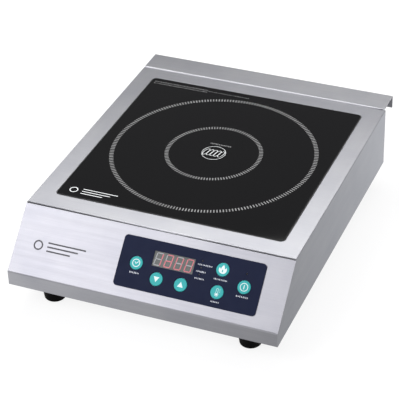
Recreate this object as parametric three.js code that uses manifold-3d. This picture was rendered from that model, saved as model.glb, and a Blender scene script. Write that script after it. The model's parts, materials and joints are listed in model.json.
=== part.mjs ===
// Countertop induction hob: one cooking zone, sloping control panel, rear ledge.
// Millimetres, +Z up, front towards -Y. The origin is the centre of the footprint,
// on the surface that the feet rest on.

import * as THREE from "three";
import { mergeVertices } from "three/addons/utils/BufferGeometryUtils.js";
import Module from "manifold-3d";

const wasm = await Module();
wasm.setup();

// ---------------------------------------------------------------- dimensions

const GAP = 0.3; // clearance between neighbouring pieces
const SHEET = 1; // thickness of the case's sheet steel
const OVERLAP = 0.5; // how far joined solids run into each other
const SLOT_FLAT = 0.01; // straight stretch left between the arcs of a slot's end
const FACETS = { large: 40, medium: 20, small: 12, tiny: 10 }; // sides of round solids

const CASE = {
  width: 327,
  depth: 425,
  height: 105.5,
  footHeight: 27.8,
  lipHeight: 18.1, // upright lip under the sloping front
  slopeRun: 59.5, // front-to-back length of the slope
  ledgeDepth: 35, // rear ledge, behind the rear wall
  ledgeRise: 1.2, // rear ledge above the top plate
  ledgeLip: 17, // turned-down edge of the rear ledge
  frontFold: 1.5, // fold along the top plate's front edge
  grooveRun: 0.9, // groove between that fold and the slope
  returnFlange: 6, // flange behind the slope's upper edge
  trayWall: 12, // upturned walls of the base pan
};

const HALF_WIDTH = CASE.width / 2;
const INNER_HALF_WIDTH = HALF_WIDTH - SHEET - GAP;
const FRONT_Y = -CASE.depth / 2;
const BACK_Y = CASE.depth / 2;
const REAR_Y = BACK_Y - CASE.ledgeDepth;
const SLOPE_TOP_Y = FRONT_Y + CASE.slopeRun;
const BASE_Z = CASE.footHeight;
const FLOOR_Z = BASE_Z + SHEET + GAP; // where inner parts stand on the base pan
const TOP_Z = CASE.height - CASE.ledgeRise;
const LIP_Z = BASE_Z + CASE.lipHeight;
const SLOPE_RISE = TOP_Z - LIP_Z;
const SLOPE_LENGTH = Math.hypot(CASE.slopeRun, SLOPE_RISE);
const SLOPE_ANGLE = Math.atan2(SLOPE_RISE, CASE.slopeRun);

const OPENING = {
  width: 281,
  depth: 284.8,
  centreY: 14.2,
  cornerRadius: 6,
  shelfWidth: 6.5, // shelf that carries the seal and the glass
  shelfCornerRadius: 3,
};
const GLASS = { thickness: 4, proud: 0.2 };
const SEAL = { width: 0.8, flangeWidth: 5, flangeThickness: 1.2 };
const GLASS_TOP_Z = TOP_Z + GLASS.proud;
const GLASS_BOTTOM_Z = GLASS_TOP_Z - GLASS.thickness;
const SHELF_TOP_Z = GLASS_BOTTOM_Z - GAP - SEAL.flangeThickness - GAP;

const FOOT = {
  x: 121,
  frontSetback: 29.5,
  rearSetback: 30,
  topRadius: 16,
  bottomRadius: 12.8,
  edgeRadius: 3,
  counterboreRadius: 5.5,
  counterboreDepth: 19.5,
  holeRadius: 2.3,
};
const FOOT_SCREW = { headRadius: 4.8, crownRadius: 3.4, headHeight: 3.2, shankRadius: 2, length: 15 };
const PIERCE_NUT = { radius: 4.5, height: 4 };
const FEET = {
  front_left: [-FOOT.x, FRONT_Y + FOOT.frontSetback],
  front_right: [FOOT.x, FRONT_Y + FOOT.frontSetback],
  rear_left: [-FOOT.x, REAR_Y - FOOT.rearSetback],
  rear_right: [FOOT.x, REAR_Y - FOOT.rearSetback],
};

const REAR_VENTS = { columns: 11, rows: 2, width: 3, length: 20, pitchX: 13, pitchZ: 26, x: -48, z: 65.5 };

// Controls are placed in the slope's own frame: X to the right, Y up the slope from
// its lower bend, Z out of the panel, with Z = 0 on the panel's outer surface.
const OVERLAY = { left: -35.1, right: 134, bottom: 12.4, top: 71.2, radius: 4.5, thickness: 0.5 };
const KEY = {
  radius: 7.7,
  holeRadius: 8,
  faceZ: 1,
  edgeRound: 0.4,
  flangeRadius: 9.2,
  flangeThickness: 1,
  stemRadius: 1.8,
  stemEndZ: -5,
};
const KEYS = {
  timer: [-14, 41.5],
  down: [13.6, 28.7],
  up: [42.8, 28.5],
  heating: [85.8, 55],
  temperature: [85.7, 29.5],
  power: [114.3, 41.3],
};
const LED = {
  bodyRadius: 1.5,
  shoulderZ: -1.6,
  tipRadius: 0.9,
  tipZ: 0.8,
  tipRound: 0.4,
  holeRadius: 1.25,
};
const LEDS = {
  heating: [61, 59.7],
  temperature: [61, 51.9],
  timer: [61, 44],
  power: [113.8, 56.2],
};
const DISPLAY = {
  x: 28.4,
  y: 51.05,
  windowWidth: 48.8,
  windowHeight: 17.3,
  bodyWidth: 50.3,
  bodyHeight: 19,
  cornerRadius: 0.5,
};
const BOARD = { thickness: 1.6, cornerRadius: 1 };
const CONTROL_BOARD = { x: 50, y: 41.5, width: 156, height: 57, frontZ: -8.3 };
const CARRIER_WALL = 4;
const SWITCH = { side: 6, height: 3.6, pocketRadius: 2.2, pocketDepth: 1.8 };

const ZONE_Y = OPENING.centreY;
const MICA = { radius: 105, thickness: 0.6 };
const COIL = { outerRadius: 92, innerRadius: 26, thickness: 4.8, edgeRound: 1 };
const FORMER = { radius: 96, rimWidth: 8, hubRadius: 30, holeRadius: 12, thickness: 3.2, spokeAngle: 0.22 };
const FERRITE = { count: 6, length: 55, width: 14, thickness: 4.6, innerEnd: 32 };
const SENSOR = { radius: 7, flangeRadius: 10, flangeThickness: 2 };
const BRACKET = { halfWidth: 104, depth: 120, footLength: 12 };
const COIL_TOP_Z = GLASS_BOTTOM_Z - GAP - MICA.thickness - GAP;
const FORMER_TOP_Z = COIL_TOP_Z - COIL.thickness - GAP;
const FERRITE_TOP_Z = FORMER_TOP_Z - FORMER.thickness - GAP;
const BRACKET_TOP_Z = FERRITE_TOP_Z - FERRITE.thickness - GAP;

const POWER_BOARD = { width: 170, depth: 140, y: -30, bossHeight: 8, bossRadius: 4, inset: 8 };
const POWER_BOARD_TOP_Z = FLOOR_Z + POWER_BOARD.bossHeight + BOARD.thickness;
const PARTS_Z = POWER_BOARD_TOP_Z + GAP; // where parts stand on the power board
const HEATSINK = { length: 90, rootThickness: 5, finLength: 31, fins: 7, finThickness: 2, pitch: 6, y: 0 };
// Parts on the power board: width, depth, height and the centre of the plan. A device
// without a y is clamped to the heatsink's face, on leads of the length given.
const LEAD_LENGTH = 4;
const COMPONENTS = {
  igbt: { size: [16, 5, 21], x: -20, finish: "blackPlastic" },
  bridge_rectifier: { size: [30, 4.6, 20], x: 18, finish: "blackPlastic" },
  dc_link_capacitor: { size: [42, 20, 30], x: -50, y: -50, finish: "capacitor" },
  resonant_capacitor: { size: [42, 18, 32], x: 4, y: -50, finish: "whitePlastic" },
  mains_filter_capacitor: { size: [26, 12, 20], x: 60, y: -50, finish: "capacitor" },
};
const CHOKE = { ringRadius: 11.5, tubeRadius: 4.8, x: -62, y: -12 };
const RIBBON = {
  width: 12.7,
  thickness: 1.2,
  x: 40,
  steps: 12,
  route: [[-171, 68], [-158, 54.5], [-130, 44.5], [-94, 41.5]], // [y, z], board to board
};
const TERMINAL_BLOCK = { length: 34, depth: 16, height: 15, x: 118, y: 128 };

const FAN = { x: -60, y: 125, side: 80, height: 25, cornerRadius: 5, boreRadius: 38.2, floor: 3 };
const FAN_STRUT = { count: 4, width: 5, hubRadius: 17 };
const FAN_SCREW_HOLE = { radius: 2.2, inset: 4.3 };
const ROTOR = {
  hubRadius: 16.5,
  hubHeight: 19,
  blades: 7,
  bladeEnd: 36.8,
  bladeChord: 18,
  bladeThickness: 1.6,
};
const GRILLE = { slots: 9, width: 3.4, pitch: 8, radius: 38 };

const GLAND = { x: 115, z: 57.5, boreRadius: 4.8, threadRadius: 8, hexRadius: 12.7, hexLength: 6 };
const GLAND_DOME = { radius: 10.5, mouthRadius: 8, length: 14, taper: 5 };
const GLAND_NUT = { hexRadius: 12.7, length: 5 };
const GLAND_THREAD_INSIDE = 8;
const HEX = 6; // sides of the gland and its nut

// ------------------------------------------------------------------ finishes

const FINISHES = {
  steel: { color: 0xc6c6ca, roughness: 0.35, metalness: 1 },
  zincSteel: { color: 0xa9adb2, roughness: 0.45, metalness: 1 },
  blackGlass: { color: 0x1c1c1d, roughness: 0.06, metalness: 0 },
  sealant: { color: 0x141414, roughness: 0.7, metalness: 0 },
  rubber: { color: 0x0e0e0f, roughness: 0.85, metalness: 0 },
  navyFilm: { color: 0x262a42, roughness: 0.4, metalness: 0 },
  teal: { color: 0x4bb9b9, roughness: 0.45, metalness: 0 },
  smokedWindow: { color: 0x6f7a70, roughness: 0.15, metalness: 0 },
  redLamp: { color: 0xc8323c, roughness: 0.3, metalness: 0 },
  circuitBoard: { color: 0x1f6b3a, roughness: 0.5, metalness: 0 },
  blackPlastic: { color: 0x1e1f21, roughness: 0.55, metalness: 0 },
  copper: { color: 0xb4673a, roughness: 0.4, metalness: 1 },
  ferrite: { color: 0x2b2b2e, roughness: 0.7, metalness: 0 },
  mica: { color: 0xd8cdb0, roughness: 0.6, metalness: 0 },
  aluminium: { color: 0xb9bcc0, roughness: 0.4, metalness: 1 },
  capacitor: { color: 0x27407e, roughness: 0.4, metalness: 0 },
  cable: { color: 0x9b9da3, roughness: 0.6, metalness: 0 },
  whitePlastic: { color: 0xe4e2da, roughness: 0.5, metalness: 0 },
};

// ---------------------------------------------------------- solid operations

// Closed mesh to solid: shared vertices are merged and collapsed triangles dropped.
function toSolid(geometry) {
  const bare = geometry.clone();
  bare.deleteAttribute("normal");
  bare.deleteAttribute("uv");
  const merged = mergeVertices(bare, 1e-4);
  const corners = merged.index.array;
  const kept = [];
  for (let i = 0; i < corners.length; i += 3) {
    const [a, b, c] = [corners[i], corners[i + 1], corners[i + 2]];
    if (a !== b && b !== c && c !== a) kept.push(a, b, c);
  }
  const vertProperties = new Float32Array(merged.attributes.position.array);
  const triVerts = new Uint32Array(kept);
  return new wasm.Manifold(new wasm.Mesh({ numProp: 3, vertProperties, triVerts }));
}

function toGeometry(solid) {
  const mesh = solid.getMesh();
  const geometry = new THREE.BufferGeometry();
  geometry.setAttribute("position", new THREE.BufferAttribute(mesh.vertProperties, 3));
  geometry.setIndex(new THREE.BufferAttribute(mesh.triVerts, 1));
  return geometry;
}

function join(...geometries) {
  return toGeometry(geometries.map(toSolid).reduce((whole, piece) => whole.add(piece)));
}

function cut(geometry, ...tools) {
  return toGeometry(tools.map(toSolid).reduce((whole, tool) => whole.subtract(tool), toSolid(geometry)));
}

// ------------------------------------------------------------- basic shapes

function box([x0, x1], [y0, y1], [z0, z1]) {
  const geometry = new THREE.BoxGeometry(x1 - x0, y1 - y0, z1 - z0);
  return geometry.translate((x0 + x1) / 2, (y0 + y1) / 2, (z0 + z1) / 2);
}

function roundedRect(width, height, radius, centreX = 0, centreY = 0) {
  const [x, y] = [width / 2 - radius, height / 2 - radius];
  const shape = new THREE.Shape();
  shape.absarc(centreX + x, centreY + y, radius, 0, Math.PI / 2);
  shape.absarc(centreX - x, centreY + y, radius, Math.PI / 2, Math.PI);
  shape.absarc(centreX - x, centreY - y, radius, Math.PI, Math.PI * 1.5);
  shape.absarc(centreX + x, centreY - y, radius, Math.PI * 1.5, Math.PI * 2);
  return shape;
}

// A full circle in equal arcs, each of which takes twice the extrusion's curveSegments.
function circle(radius, centreX = 0, centreY = 0, arcs = 4) {
  const shape = new THREE.Shape();
  for (let i = 0; i < arcs; i += 1) {
    shape.absarc(centreX, centreY, radius, (i * 2 * Math.PI) / arcs, ((i + 1) * 2 * Math.PI) / arcs);
  }
  return shape;
}

// Flat plate between two heights, with each curve of its outline in a few steps.
function plate(outline, holes, z0, z1, curveSegments = 3) {
  const shape = outline.clone();
  shape.holes = holes;
  const options = { depth: z1 - z0, bevelEnabled: false, curveSegments };
  return new THREE.ExtrudeGeometry(shape, options).translate(0, 0, z0);
}

// Outline of [y, z] points, swept along X from -halfWidth to +halfWidth.
function sideways(points, halfWidth, centreX = 0) {
  const shape = new THREE.Shape(points.map(([y, z]) => new THREE.Vector2(y, z)));
  const geometry = new THREE.ExtrudeGeometry(shape, { depth: 2 * halfWidth, bevelEnabled: false });
  const axes = new THREE.Matrix4().makeBasis(
    new THREE.Vector3(0, 1, 0),
    new THREE.Vector3(0, 0, 1),
    new THREE.Vector3(1, 0, 0),
  );
  return geometry.applyMatrix4(axes).translate(centreX - halfWidth, 0, 0);
}

// Solid of revolution about Z from [radius, z] points, outer side listed upwards.
function turned(points, segments) {
  const profile = points.map(([radius, z]) => new THREE.Vector2(radius, z));
  return new THREE.LatheGeometry(profile, segments).rotateX(Math.PI / 2);
}

// A cylinder upright along Z.
function post(radius, z0, z1, segments, x = 0, y = 0) {
  const geometry = new THREE.CylinderGeometry(radius, radius, z1 - z0, segments);
  return geometry.rotateX(Math.PI / 2).translate(x, y, (z0 + z1) / 2);
}

// Height of the slope's surface at a given y, after moving it inwards by inset.
function slopeZ(y, inset = 0) {
  return LIP_Z + ((y - FRONT_Y) * SLOPE_RISE - inset * SLOPE_LENGTH) / CASE.slopeRun;
}

function openingShape(grow, radius = OPENING.cornerRadius + grow) {
  return roundedRect(OPENING.width + 2 * grow, OPENING.depth + 2 * grow, radius, 0, OPENING.centreY);
}

// ---------------------------------------------------------------------- case

function sidePanel(x) {
  const inset = SHEET + GAP;
  const front = FRONT_Y + inset;
  const outline = [
    [front, BASE_Z],
    [REAR_Y, BASE_Z],
    [REAR_Y, TOP_Z],
    [SLOPE_TOP_Y, TOP_Z],
    [SLOPE_TOP_Y, slopeZ(SLOPE_TOP_Y, inset)],
    [front, slopeZ(front, inset)],
  ];
  return sideways(outline, SHEET / 2, x);
}

// Top plate, both sides, the front fold and the recessed shelf under the glass.
function topCasing() {
  const rearEdgeY = REAR_Y - SHEET - GAP;
  const topSheet = box([-HALF_WIDTH, HALF_WIDTH], [SLOPE_TOP_Y, rearEdgeY], [TOP_Z - SHEET, TOP_Z]);
  const topPlate = cut(topSheet, plate(openingShape(0), [], TOP_Z - 2 * SHEET, TOP_Z + SHEET));
  const fold = box(
    [-HALF_WIDTH, HALF_WIDTH],
    [SLOPE_TOP_Y, SLOPE_TOP_Y + SHEET],
    [TOP_Z - CASE.frontFold, TOP_Z - SHEET / 2],
  );
  const shelfBottom = SHELF_TOP_Z - SHEET;
  const recess = plate(openingShape(SHEET), [openingShape(0)], shelfBottom, TOP_Z - SHEET / 2);
  const shelfHole = openingShape(-OPENING.shelfWidth, OPENING.shelfCornerRadius);
  const shelf = plate(openingShape(SHEET), [shelfHole], shelfBottom, SHELF_TOP_Z);
  const sideX = HALF_WIDTH - SHEET / 2;
  return join(topPlate, fold, recess, shelf, sidePanel(-sideX), sidePanel(sideX));
}

// Upright lip and slope, with holes for the keys, lamps and display.
function frontPanel(toSlope) {
  const endY = SLOPE_TOP_Y - CASE.grooveRun;
  const skin = [
    [FRONT_Y, BASE_Z],
    [FRONT_Y + SHEET, BASE_Z],
    [FRONT_Y + SHEET, slopeZ(FRONT_Y + SHEET, SHEET)],
    [endY, slopeZ(endY, SHEET)],
    [endY, slopeZ(endY)],
    [FRONT_Y, LIP_Z],
  ];
  const flange = box(
    [-INNER_HALF_WIDTH, INNER_HALF_WIDTH],
    [endY - SHEET, endY],
    [slopeZ(endY) - CASE.returnFlange, slopeZ(endY, SHEET) + SHEET / 2],
  );
  const through = [-2 * SHEET, SHEET];
  const tools = [
    ...Object.values(KEYS).map(([x, y]) => post(KEY.holeRadius, ...through, FACETS.medium, x, y)),
    ...Object.values(LEDS).map(([x, y]) => post(LED.holeRadius, ...through, FACETS.tiny, x, y)),
    plate(displayOutline(DISPLAY.bodyWidth + 2 * GAP, DISPLAY.bodyHeight + 2 * GAP), [], ...through),
  ];
  tools.forEach((tool) => tool.applyMatrix4(toSlope));
  return cut(join(sideways(skin, HALF_WIDTH), flange), ...tools);
}

// Rear wall with vents and the gland's hole, folded back into the ledge.
function rearPanel() {
  const outline = [
    [REAR_Y - SHEET, BASE_Z],
    [REAR_Y, BASE_Z],
    [REAR_Y, CASE.height - SHEET],
    [BACK_Y - SHEET, CASE.height - SHEET],
    [BACK_Y - SHEET, CASE.height - CASE.ledgeLip],
    [BACK_Y, CASE.height - CASE.ledgeLip],
    [BACK_Y, CASE.height],
    [REAR_Y - SHEET, CASE.height],
  ];
  const reach = 2 * SHEET;
  const endRadius = REAR_VENTS.width / 2 - SLOT_FLAT;
  const vents = [];
  for (let row = 0; row < REAR_VENTS.rows; row += 1) {
    for (let column = 0; column < REAR_VENTS.columns; column += 1) {
      const x = REAR_VENTS.x + (column - (REAR_VENTS.columns - 1) / 2) * REAR_VENTS.pitchX;
      const z = REAR_VENTS.z + (row - (REAR_VENTS.rows - 1) / 2) * REAR_VENTS.pitchZ;
      const slot = roundedRect(REAR_VENTS.width, REAR_VENTS.length, endRadius, x, -z);
      vents.push(plate(slot, [], -reach, reach, 1));
    }
  }
  const glandHole = post(GLAND.threadRadius + GAP, -reach, reach, FACETS.medium, GLAND.x, -GLAND.z);
  const tools = [...vents, glandHole];
  tools.forEach((tool) => tool.rotateX(-Math.PI / 2).translate(0, REAR_Y - SHEET / 2, 0));
  return cut(sideways(outline, INNER_HALF_WIDTH), ...tools);
}

// Tray with the fan's intake grille, pierce nuts for the feet and board bosses.
function basePan() {
  const [y0, y1] = [FRONT_Y + SHEET + GAP, REAR_Y - SHEET - GAP];
  const tray = cut(
    box([-INNER_HALF_WIDTH, INNER_HALF_WIDTH], [y0, y1], [BASE_Z, BASE_Z + CASE.trayWall]),
    box(
      [SHEET - INNER_HALF_WIDTH, INNER_HALF_WIDTH - SHEET],
      [y0 + SHEET, y1 - SHEET],
      [BASE_Z + SHEET, BASE_Z + 2 * CASE.trayWall],
    ),
  );
  const rootZ = BASE_Z + SHEET - OVERLAP;
  const nutTop = BASE_Z + SHEET + PIERCE_NUT.height;
  const bossTop = FLOOR_Z + POWER_BOARD.bossHeight - GAP;
  const through = [BASE_Z - OVERLAP, nutTop + OVERLAP];
  const feet = Object.values(FEET);
  const nuts = feet.map(([x, y]) => post(PIERCE_NUT.radius, rootZ, nutTop, FACETS.small, x, y));
  const holes = feet.map(([x, y]) => post(FOOT.holeRadius, ...through, FACETS.tiny, x, y));
  const bosses = boardCorners().map(([x, y]) => {
    return post(POWER_BOARD.bossRadius, rootZ, bossTop, FACETS.tiny, x, y);
  });
  return cut(join(tray, ...nuts, ...bosses), ...holes, ...grilleSlots());
}

function boardCorners() {
  const x = POWER_BOARD.width / 2 - POWER_BOARD.inset;
  const y = POWER_BOARD.depth / 2 - POWER_BOARD.inset;
  return [[-x, -y], [x, -y], [-x, y], [x, y]].map(([dx, dy]) => [dx, POWER_BOARD.y + dy]);
}

// Parallel slots whose ends follow the fan's circle.
function grilleSlots() {
  const slots = [];
  for (let i = 0; i < GRILLE.slots; i += 1) {
    const offset = (i - (GRILLE.slots - 1) / 2) * GRILLE.pitch;
    const length = 2 * Math.sqrt(GRILLE.radius ** 2 - offset ** 2);
    const outline = roundedRect(GRILLE.width, length, GRILLE.width / 2 - SLOT_FLAT, FAN.x + offset, FAN.y);
    slots.push(plate(outline, [], BASE_Z - SHEET, BASE_Z + 2 * SHEET, 1));
  }
  return slots;
}

function foot() {
  const top = BASE_Z - GAP;
  const edgeSteps = 3;
  const profile = [[FOOT.counterboreRadius, 0]];
  for (let i = 0; i <= edgeSteps; i += 1) {
    const angle = (i / edgeSteps) * (Math.PI / 2);
    const radius = FOOT.bottomRadius - FOOT.edgeRadius * (1 - Math.sin(angle));
    profile.push([radius, FOOT.edgeRadius * (1 - Math.cos(angle))]);
  }
  profile.push(
    [FOOT.topRadius, top],
    [FOOT.holeRadius, top],
    [FOOT.holeRadius, FOOT.counterboreDepth],
    [FOOT.counterboreRadius, FOOT.counterboreDepth],
    [FOOT.counterboreRadius, 0],
  );
  return turned(profile, FACETS.medium);
}

function footScrew() {
  const shoulder = FOOT.counterboreDepth - GAP;
  const profile = [
    [0, shoulder - FOOT_SCREW.headHeight],
    [FOOT_SCREW.crownRadius, shoulder - FOOT_SCREW.headHeight],
    [FOOT_SCREW.headRadius, shoulder - FOOT_SCREW.headHeight / 2],
    [FOOT_SCREW.headRadius, shoulder],
    [FOOT_SCREW.shankRadius, shoulder],
    [FOOT_SCREW.shankRadius, shoulder + FOOT_SCREW.length],
    [0, shoulder + FOOT_SCREW.length],
  ];
  return turned(profile, FACETS.small);
}

// --------------------------------------------------------------------- glass

function glassPlate() {
  const outline = openingShape(-(GAP + SEAL.width + GAP));
  return plate(outline, [], GLASS_BOTTOM_Z, GLASS_TOP_Z, 4);
}

// L-section gasket: an upstand around the glass and a flange under its edge.
function glassSeal() {
  const outer = openingShape(-GAP);
  const inner = openingShape(-GAP - SEAL.width);
  const flangeInner = openingShape(-GAP - SEAL.flangeWidth, OPENING.shelfCornerRadius);
  const bottom = SHELF_TOP_Z + GAP;
  const upstand = plate(outer, [inner], bottom, TOP_Z);
  const flange = plate(outer, [flangeInner], bottom, bottom + SEAL.flangeThickness);
  return join(upstand, flange);
}

// ------------------------------------------------------------------ controls

function displayOutline(width, height) {
  return roundedRect(width, height, DISPLAY.cornerRadius, DISPLAY.x, DISPLAY.y);
}

function controlOverlay() {
  const width = OVERLAY.right - OVERLAY.left;
  const height = OVERLAY.top - OVERLAY.bottom;
  const centreX = OVERLAY.left + width / 2;
  const centreY = OVERLAY.bottom + height / 2;
  const outline = roundedRect(width, height, OVERLAY.radius, centreX, centreY);
  const holes = [
    ...Object.values(KEYS).map(([x, y]) => circle(KEY.holeRadius, x, y)),
    ...Object.values(LEDS).map(([x, y]) => circle(LED.holeRadius, x, y)),
    displayOutline(DISPLAY.windowWidth, DISPLAY.windowHeight),
  ];
  return plate(outline, holes, GAP, GAP + OVERLAY.thickness);
}

function displayWindow() {
  const outline = displayOutline(DISPLAY.windowWidth - 2 * GAP, DISPLAY.windowHeight - 2 * GAP);
  return plate(outline, [], GAP, GAP + OVERLAY.thickness, 1);
}

function displayModule() {
  const halfWidth = DISPLAY.bodyWidth / 2;
  const halfHeight = DISPLAY.bodyHeight / 2;
  return box(
    [DISPLAY.x - halfWidth, DISPLAY.x + halfWidth],
    [DISPLAY.y - halfHeight, DISPLAY.y + halfHeight],
    [CONTROL_BOARD.frontZ + GAP, 0],
  );
}

function controlBoardOutline(shrink) {
  const width = CONTROL_BOARD.width - 2 * shrink;
  const height = CONTROL_BOARD.height - 2 * shrink;
  return roundedRect(width, height, BOARD.cornerRadius, CONTROL_BOARD.x, CONTROL_BOARD.y);
}

function controlBoard() {
  const back = CONTROL_BOARD.frontZ - BOARD.thickness;
  return plate(controlBoardOutline(0), [], back, CONTROL_BOARD.frontZ, 1);
}

function boardCarrier() {
  const hole = controlBoardOutline(CARRIER_WALL);
  return plate(controlBoardOutline(0), [hole], CONTROL_BOARD.frontZ + GAP, -SHEET - GAP, 1);
}

// Round cap through the panel, a flange that keeps it in, and a stem to its switch.
function keyCap() {
  const flangeTop = -SHEET - GAP;
  const flangeBottom = flangeTop - KEY.flangeThickness;
  const profile = [
    [0, KEY.stemEndZ],
    [KEY.stemRadius, KEY.stemEndZ],
    [KEY.stemRadius, flangeBottom],
    [KEY.flangeRadius, flangeBottom],
    [KEY.flangeRadius, flangeTop],
    [KEY.radius, flangeTop],
    [KEY.radius, KEY.faceZ - KEY.edgeRound],
    [KEY.radius - KEY.edgeRound, KEY.faceZ],
    [0, KEY.faceZ],
  ];
  return turned(profile, FACETS.medium);
}

// Tactile switch body with a pocket that the key's stem presses into.
function keySwitch() {
  const bottom = CONTROL_BOARD.frontZ + GAP;
  const top = bottom + SWITCH.height;
  const half = SWITCH.side / 2;
  const body = box([-half, half], [-half, half], [bottom, top]);
  return cut(body, post(SWITCH.pocketRadius, top - SWITCH.pocketDepth, top + OVERLAP, FACETS.tiny));
}

function lamp() {
  const profile = [
    [0, CONTROL_BOARD.frontZ + GAP],
    [LED.bodyRadius, CONTROL_BOARD.frontZ + GAP],
    [LED.bodyRadius, LED.shoulderZ],
    [LED.tipRadius, LED.shoulderZ],
    [LED.tipRadius, LED.tipZ - LED.tipRound],
    [LED.tipRadius - LED.tipRound, LED.tipZ],
    [0, LED.tipZ],
  ];
  return turned(profile, FACETS.tiny);
}

// Flat cable from behind the control board down to the power board's front edge.
function ribbonCable() {
  const route = RIBBON.route.map(([y, z]) => new THREE.Vector3(RIBBON.x, y, z));
  const [halfWidth, halfThickness] = [RIBBON.width / 2, RIBBON.thickness / 2];
  const section = new THREE.Shape([
    new THREE.Vector2(-halfWidth, -halfThickness),
    new THREE.Vector2(halfWidth, -halfThickness),
    new THREE.Vector2(halfWidth, halfThickness),
    new THREE.Vector2(-halfWidth, halfThickness),
  ]);
  const extrudePath = new THREE.CatmullRomCurve3(route);
  return new THREE.ExtrudeGeometry(section, { steps: RIBBON.steps, extrudePath, bevelEnabled: false });
}

// ----------------------------------------------------------------- induction

function micaSheet() {
  const top = GLASS_BOTTOM_Z - GAP;
  return post(MICA.radius, top - MICA.thickness, top, FACETS.large, 0, ZONE_Y);
}

function coilWinding() {
  const { outerRadius, innerRadius, thickness, edgeRound } = COIL;
  const [bottom, top] = [COIL_TOP_Z - thickness, COIL_TOP_Z];
  const profile = [
    [innerRadius, bottom],
    [outerRadius - edgeRound, bottom],
    [outerRadius, bottom + edgeRound],
    [outerRadius, top - edgeRound],
    [outerRadius - edgeRound, top],
    [innerRadius, top],
    [innerRadius, bottom],
  ];
  return turned(profile, FACETS.large).translate(0, ZONE_Y, 0);
}

// Spoked disc that carries the winding above the ferrite bars.
function coilFormer() {
  const outline = circle(FORMER.radius, 0, 0, FERRITE.count);
  const holes = [circle(FORMER.holeRadius, 0, 0, 2)];
  for (let i = 0; i < FERRITE.count; i += 1) {
    const start = (i * 2 * Math.PI) / FERRITE.count + FORMER.spokeAngle;
    const end = ((i + 1) * 2 * Math.PI) / FERRITE.count - FORMER.spokeAngle;
    const sector = new THREE.Path();
    sector.absarc(0, 0, FORMER.radius - FORMER.rimWidth, start, end);
    sector.absarc(0, 0, FORMER.hubRadius, end, start, true);
    holes.push(sector);
  }
  const geometry = plate(outline, holes, FORMER_TOP_Z - FORMER.thickness, FORMER_TOP_Z);
  return geometry.translate(0, ZONE_Y, 0);
}

function ferriteBar() {
  const { length, width, thickness, innerEnd } = FERRITE;
  return box([innerEnd, innerEnd + length], [-width / 2, width / 2], [-thickness, 0]);
}

function temperatureSensor() {
  const bottom = BRACKET_TOP_Z + GAP;
  const shoulder = bottom + SENSOR.flangeThickness;
  const profile = [
    [0, bottom],
    [SENSOR.flangeRadius, bottom],
    [SENSOR.flangeRadius, shoulder],
    [SENSOR.radius, shoulder],
    [SENSOR.radius, COIL_TOP_Z],
    [0, COIL_TOP_Z],
  ];
  return turned(profile, FACETS.medium).translate(0, ZONE_Y, 0);
}

// Bridge of bent sheet that stands on the base pan and carries the coil.
function coilBracket() {
  const { halfWidth, depth, footLength } = BRACKET;
  const [outer, inner, foot] = [halfWidth, halfWidth - SHEET, halfWidth + footLength];
  const [top, under, floor] = [BRACKET_TOP_Z, BRACKET_TOP_Z - SHEET, FLOOR_Z];
  const half = [[outer, top], [outer, floor + SHEET], [foot, floor + SHEET], [foot, floor], [inner, floor]];
  const outline = [...half, [inner, under]];
  const mirrored = outline.map(([x, z]) => [-x, z]).reverse();
  const shape = new THREE.Shape([...outline, ...mirrored].map(([x, z]) => new THREE.Vector2(x, z)));
  const geometry = new THREE.ExtrudeGeometry(shape, { depth, bevelEnabled: false });
  return geometry.rotateX(Math.PI / 2).translate(0, ZONE_Y + depth / 2, 0);
}

// --------------------------------------------------------------- electronics

function powerBoard() {
  const outline = roundedRect(POWER_BOARD.width, POWER_BOARD.depth, BOARD.cornerRadius, 0, POWER_BOARD.y);
  return plate(outline, [], POWER_BOARD_TOP_Z - BOARD.thickness, POWER_BOARD_TOP_Z, 1);
}

// Comb section: an upright root with level fins behind it.
function heatsink() {
  const { rootThickness, finLength, fins, finThickness, pitch, y, length } = HEATSINK;
  const tip = y + rootThickness + finLength;
  const outline = [[y, PARTS_Z]];
  for (let i = 0; i < fins; i += 1) {
    const z = PARTS_Z + i * pitch;
    outline.push([tip, z], [tip, z + finThickness], [y + rootThickness, z + finThickness]);
    if (i < fins - 1) outline.push([y + rootThickness, z + pitch]);
  }
  outline.push([y, PARTS_Z + (fins - 1) * pitch + finThickness]);
  return sideways(outline, length / 2);
}

// Box of the given size, centred on x and y, with its underside at bottom.
function block([width, depth, height], x, y, bottom) {
  return box([x - width / 2, x + width / 2], [y - depth / 2, y + depth / 2], [bottom, bottom + height]);
}

function component({ size, x, y }) {
  if (y !== undefined) return block(size, x, y, PARTS_Z);
  return block(size, x, HEATSINK.y - GAP - size[1] / 2, PARTS_Z + LEAD_LENGTH);
}

function filterChoke() {
  const { ringRadius, tubeRadius, x, y } = CHOKE;
  const ring = new THREE.TorusGeometry(ringRadius, tubeRadius, FACETS.tiny, FACETS.medium);
  return ring.translate(x, y, PARTS_Z + tubeRadius);
}

// -------------------------------------------------------------------- cooling

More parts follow.
